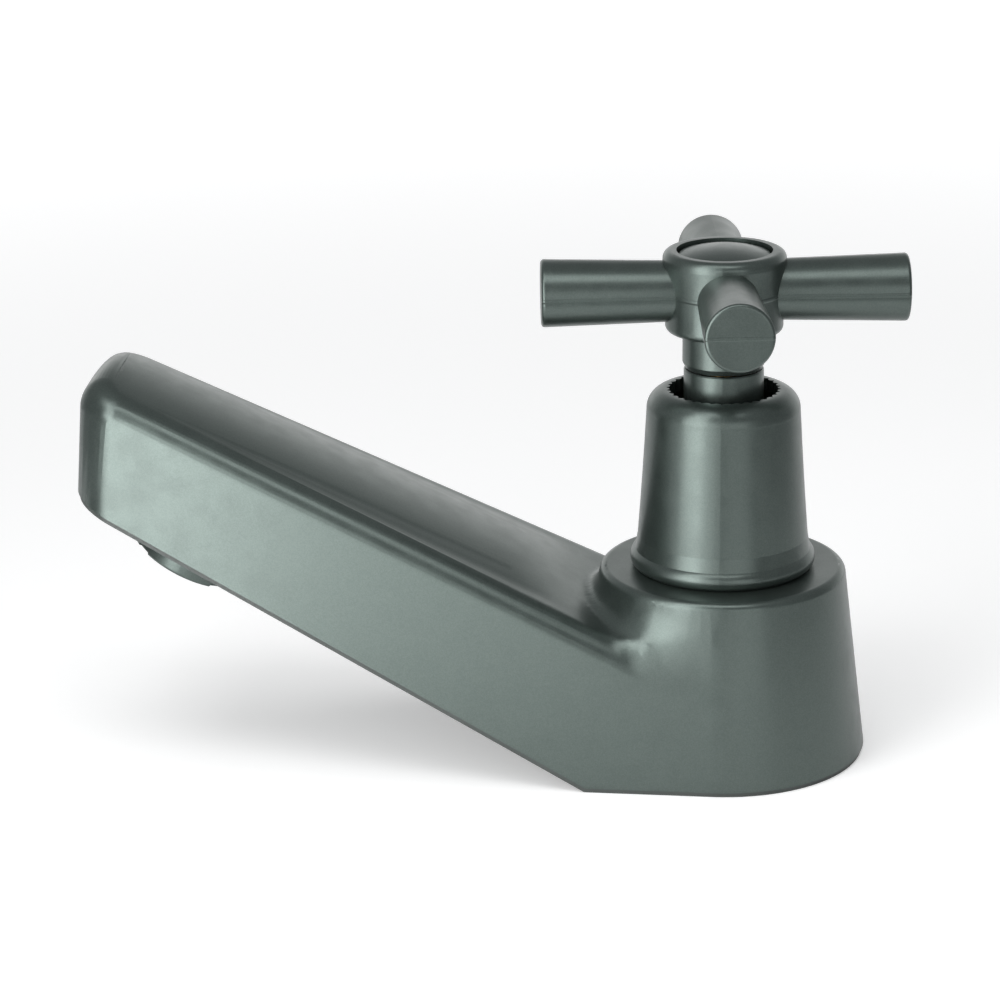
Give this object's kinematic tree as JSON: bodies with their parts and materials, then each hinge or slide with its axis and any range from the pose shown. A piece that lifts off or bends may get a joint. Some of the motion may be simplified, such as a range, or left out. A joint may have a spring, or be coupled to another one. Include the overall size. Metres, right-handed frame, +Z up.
{
  "type": "basin tap",
  "caption": "Deck-mounted basin tap: round tapering base, flat-sided spout climbing to the tip, bell over the headwork, cross handle on a non-rising spindle, aerator outlet",
  "frame": {"origin": "centre of the base's underside, where the handle's axis meets the face that rests on the basin", "axes": "+Z up along the handle's axis, the spout points along -Y, +X to the right seen from behind the spout's tip"},
  "size_m": [0.0626, 0.1415, 0.1346],
  "materials": {
    "dark_satin_shell": "satin metallic coat",
    "dark_satin_dress": "satin metallic coat",
    "underside_plastic": "satin",
    "brass": "machined",
    "stainless": "machined",
    "pipe_plastic": "satin",
    "grid_plastic": "satin",
    "nut_plastic": "satin",
    "fibre_washer": "matte",
    "seal_rubber": "matte",
    "gasket_rubber": "matte"
  },
  "bodies": {
    "tap_body": {"body_shell": "dark_satin_shell", "underside_cover": "underside_plastic", "valve_body": "brass", "valve_seat": "stainless", "waterway_tube": "pipe_plastic", "tube_seals": "seal_rubber", "outlet_elbow": "pipe_plastic", "aerator_housing": "dark_satin_shell", "aerator_insert": "grid_plastic", "aerator_washer": "seal_rubber", "base_gasket": "gasket_rubber", "shank_washer": "nut_plastic", "back_nut": "nut_plastic", "headwork_bonnet": "brass", "bonnet_washer": "fibre_washer", "bell_shroud": "dark_satin_dress", "neck_sleeve": "dark_satin_dress"},
    "handle": {"spindle": "brass", "spindle_seals": "seal_rubber", "spindle_clip": "stainless", "cross_handle": "dark_satin_dress", "handle_screw": "stainless", "index_cap": "dark_satin_dress"},
    "washer_carrier": {"valve_carrier": "brass", "seat_washer": "seal_rubber", "washer_screw": "stainless"}
  },
  "joints": [
    {"name": "handle_turn", "type": "hinge", "parent": "tap_body", "child": "handle", "pos_m": [0, 0, 0.082], "axis": [0, 0, 1], "range_deg": [0, 900]},
    {"name": "carrier_lift", "type": "slide", "parent": "tap_body", "child": "washer_carrier", "axis": [0, 0, 1], "range_m": [0, 0.005]}
  ],
  "couplings": [
    {"joint": "carrier_lift", "follows": "handle_turn", "m_per_rad": 0.0003183}
  ]
}
